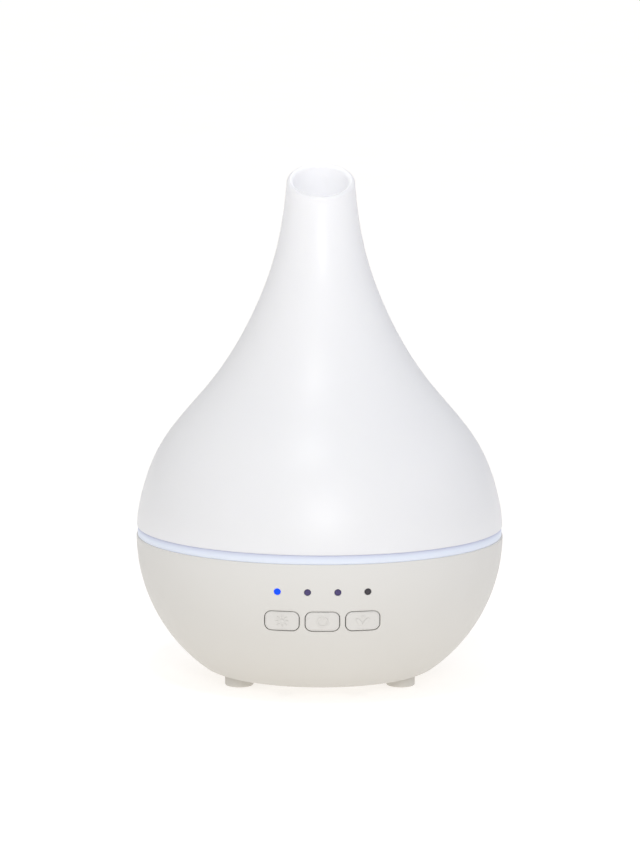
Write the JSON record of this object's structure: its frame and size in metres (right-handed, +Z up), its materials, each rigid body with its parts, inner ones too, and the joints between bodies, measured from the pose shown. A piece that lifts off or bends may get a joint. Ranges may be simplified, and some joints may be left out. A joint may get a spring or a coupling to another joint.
{
  "type": "cool mist humidifier",
  "caption": "Vase-shaped ultrasonic cool mist diffuser with a translucent lift-off cover, glowing band and a bowl base with press buttons.",
  "frame": {"origin": "centre of the base on the floor, under the feet", "axes": "+Z up through the neck, -Y towards the buttons, +X to the right of someone facing the buttons"},
  "size_m": [0.168, 0.168, 0.2359],
  "materials": {
    "cover_plastic": "satin, translucent",
    "inner_plastic": "satin, translucent",
    "tank_plastic": "smooth",
    "light_band": "frosted, lit from inside",
    "bowl_plastic": "fine matt",
    "button_plastic": "fine matt",
    "foot_rubber": "matt",
    "seal_rubber": "matt",
    "screw_steel": "zinc plated",
    "clamp_steel": "stamped",
    "disc_silver": "plated",
    "inlet_brass": "nickel plated",
    "black_plastic": "satin",
    "fan_plastic": "satin",
    "board_green": "solder mask",
    "connector_white": "satin",
    "ribbon_grey": "satin",
    "sink_aluminium": "extruded",
    "coil_copper": "enamelled wire",
    "capacitor_sleeve": "sleeve",
    "lens_lit": "lit blue",
    "lens_dark": "smoked",
    "lamp_white": "encapsulated",
    "switch_black": "satin"
  },
  "bodies": {
    "base": {"water_tank": "tank_plastic", "air_duct": "tank_plastic", "light_ring": "light_band", "rim_gasket": "seal_rubber", "base_shell": "bowl_plastic", "foot_pads": "foot_rubber", "tank_screws": "screw_steel", "piezo_disc": "disc_silver", "disc_seal": "seal_rubber", "disc_clamp": "clamp_steel", "clamp_screws": "screw_steel", "fan_frame": "fan_plastic", "fan_coil": "coil_copper", "fan_screws": "screw_steel", "air_guide": "black_plastic", "tact_switches": "clamp_steel", "control_board": "board_green", "control_board_screws": "screw_steel", "indicator_lamps": "lamp_white", "main_board": "board_green", "main_board_screws": "screw_steel", "heat_sink": "sink_aluminium", "driver_coils": "coil_copper", "capacitors": "capacitor_sleeve", "ring_board": "board_green", "ring_board_screws": "screw_steel", "ring_lamps": "lamp_white", "board_connectors": "connector_white", "control_ribbon": "ribbon_grey", "dc_jack": "black_plastic", "dc_pin": "inlet_brass", "indicator_lens_1": "lens_lit", "indicator_lens_2": "lens_dark", "indicator_lens_3": "lens_dark", "indicator_lens_4": "lens_dark"},
    "outer_cover": {"outer_cover": "cover_plastic"},
    "inner_cover": {"inner_cover": "inner_plastic"},
    "light_button": {"button_light": "button_plastic", "plunger_light": "switch_black"},
    "power_button": {"button_power": "button_plastic", "plunger_power": "switch_black"},
    "mist_button": {"button_mist": "button_plastic", "plunger_mist": "switch_black"},
    "fan": {"fan_rotor": "fan_plastic"}
  },
  "joints": [
    {"name": "inner_cover_lift", "type": "slide", "parent": "base", "child": "inner_cover", "axis": [0, 0, 1], "range_m": [0, 0.09]},
    {"name": "outer_cover_lift", "type": "slide", "parent": "inner_cover", "child": "outer_cover", "axis": [0, 0, 1], "range_m": [0, 0.13]},
    {"name": "light_press", "type": "slide", "parent": "base", "child": "light_button", "axis": [0, 1, 0], "range_m": [0, 0.0005], "stiffness_N_per_m": 800, "springref_m": -0.0005},
    {"name": "power_press", "type": "slide", "parent": "base", "child": "power_button", "axis": [0, 1, 0], "range_m": [0, 0.0005], "stiffness_N_per_m": 800, "springref_m": -0.0005},
    {"name": "mist_press", "type": "slide", "parent": "base", "child": "mist_button", "axis": [0, 1, 0], "range_m": [0, 0.0005], "stiffness_N_per_m": 800, "springref_m": -0.0005},
    {"name": "fan_spin", "type": "hinge", "parent": "base", "child": "fan", "pos_m": [0, 0.03, 0.0147], "axis": [0, 0, 1], "continuous": true}
  ]
}
